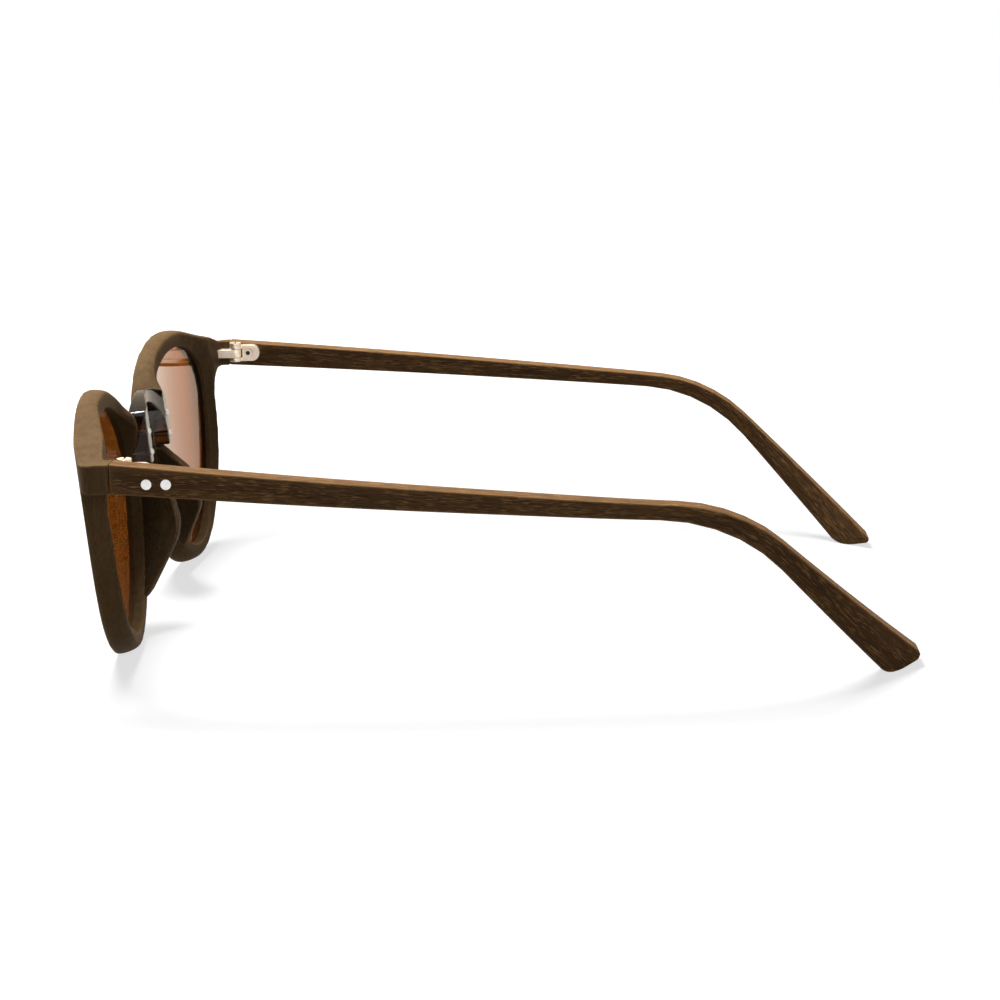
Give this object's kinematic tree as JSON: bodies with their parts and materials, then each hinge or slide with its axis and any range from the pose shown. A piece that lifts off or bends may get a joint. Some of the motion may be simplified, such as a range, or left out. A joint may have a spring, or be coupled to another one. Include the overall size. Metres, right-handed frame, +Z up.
{
  "type": "wooden sunglasses",
  "caption": "Sunglasses with leaning wooden rims, brown tinted lenses, a see-through brown saddle bridge, wooden nose pads and wooden temples that fold on small metal hinges.",
  "frame": {"origin": "middle of the bounding box in plan, on the surface that the rims and temple tips stand on", "axes": "+Z up, the lenses face -Y, the temples run towards +Y, +X is the wearer's left"},
  "size_m": [0.1446, 0.1446, 0.0467],
  "materials": {
    "rim_wood": "dark brown hardwood, oiled, with fine streaks and softly rounded edges",
    "temple_wood": "dark brown hardwood with lengthwise streaks and tan flecks, oiled",
    "pad_wood": "dark brown hardwood, sanded smooth",
    "lens_tint": "brown tint, polished, with a bright reflection",
    "bridge_acetate": "see-through brown acetate, polished",
    "hinge_metal": "plain steel, satin, with small rounded edges"
  },
  "bodies": {
    "front": {"rim_left": "rim_wood", "rim_right": "rim_wood", "lens_left": "lens_tint", "lens_right": "lens_tint", "bridge": "bridge_acetate", "bridge_pins": "hinge_metal", "nose_pad_left": "pad_wood", "nose_pad_right": "pad_wood", "front_hinge_leaf_left": "hinge_metal", "front_hinge_leaf_right": "hinge_metal"},
    "left_temple": {"temple_left": "temple_wood", "temple_hinge_leaf_left": "hinge_metal", "hinge_screw_left": "hinge_metal", "leaf_screw_left": "hinge_metal", "temple_rivets_left": "hinge_metal"},
    "right_temple": {"temple_right": "temple_wood", "temple_hinge_leaf_right": "hinge_metal", "hinge_screw_right": "hinge_metal", "leaf_screw_right": "hinge_metal", "temple_rivets_right": "hinge_metal"}
  },
  "joints": [
    {"name": "left_fold", "type": "hinge", "parent": "front", "child": "left_temple", "pos_m": [0.0655, -0.05906, 0.03795], "axis": [0, 0, 1], "range_deg": [0, 84]},
    {"name": "right_fold", "type": "hinge", "parent": "front", "child": "right_temple", "pos_m": [-0.0655, -0.05906, 0.03795], "axis": [0, 0, -1], "range_deg": [0, 74]}
  ]
}
